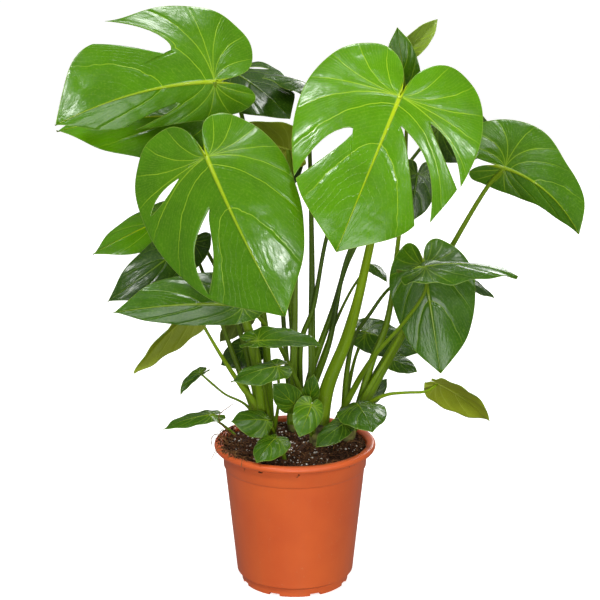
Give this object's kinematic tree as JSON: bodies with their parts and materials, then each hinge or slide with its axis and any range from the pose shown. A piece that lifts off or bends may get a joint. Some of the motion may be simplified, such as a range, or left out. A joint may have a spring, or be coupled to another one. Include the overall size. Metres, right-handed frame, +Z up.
{
  "type": "potted monstera plant",
  "caption": "Young monstera with split heart-shaped leaves on long stalks, growing from short stems in soil in a terracotta-coloured plastic nursery pot with a rolled rim",
  "frame": {"origin": "centre of the flat pad under the pot, at floor level", "axes": "+Z up out of the pot, +X to the right and -Y to the front, where the largest leaves face"},
  "size_m": [0.6, 0.3002, 0.6738],
  "materials": {
    "leaf": "waxy living leaf, glossy above and duller below",
    "stalk": "smooth living leaf stalk, soft sheen",
    "stem": "young green-brown trunk with dry sheath scars, matt",
    "pot": "moulded polypropylene, satin",
    "soil": "damp coir and bark potting mix with white perlite grains"
  },
  "bodies": {
    "root": {"pot": "pot", "stem_left": "stem", "stem_back": "stem", "stem_middle": "stem", "stem_right": "stem", "stalk_top_left": "stalk", "blade_top_left": "leaf", "stalk_front_left": "stalk", "blade_front_left": "leaf", "stalk_front_middle": "stalk", "blade_front_middle": "leaf", "stalk_right": "stalk", "blade_right": "leaf", "stalk_right_low": "stalk", "blade_right_low": "leaf", "stalk_right_level": "stalk", "blade_right_level": "leaf", "leaf_right_hanging": "leaf", "leaf_right_rim": "leaf", "leaf_right_inner": "leaf", "leaf_right_back": "leaf", "leaf_right_small": "leaf", "leaf_right_tiny": "leaf", "leaf_back_small": "leaf", "stalk_back_top": "stalk", "blade_back_top": "leaf", "stalk_back_folded": "stalk", "blade_back_folded": "leaf", "stalk_back_pale": "stalk", "blade_back_pale": "leaf", "leaf_back_dark": "leaf", "stalk_left_wide": "stalk", "blade_left_wide": "leaf", "stalk_left_upper": "stalk", "blade_left_upper": "leaf", "stalk_left_middle": "stalk", "blade_left_middle": "leaf", "stalk_left_lower": "stalk", "blade_left_lower": "leaf", "stalk_left_hanging": "stalk", "blade_left_hanging": "leaf", "leaf_left_grey": "leaf", "leaf_left_back": "leaf", "leaf_left_small": "leaf", "leaf_left_rim": "leaf", "stalk_notch": "stalk", "blade_notch": "leaf", "leaf_new_rolled": "leaf", "leaf_behind_middle": "leaf", "leaf_behind_right": "leaf", "leaf_inner_edge": "leaf", "leaf_inner_wavy": "leaf", "leaf_inner_low": "leaf", "leaf_inner_tiny": "leaf", "leaf_soil_left": "leaf", "leaf_front_rim": "leaf", "leaf_front_light": "leaf", "leaf_front_dark": "leaf", "soil": "soil"}
  },
  "joints": []
}
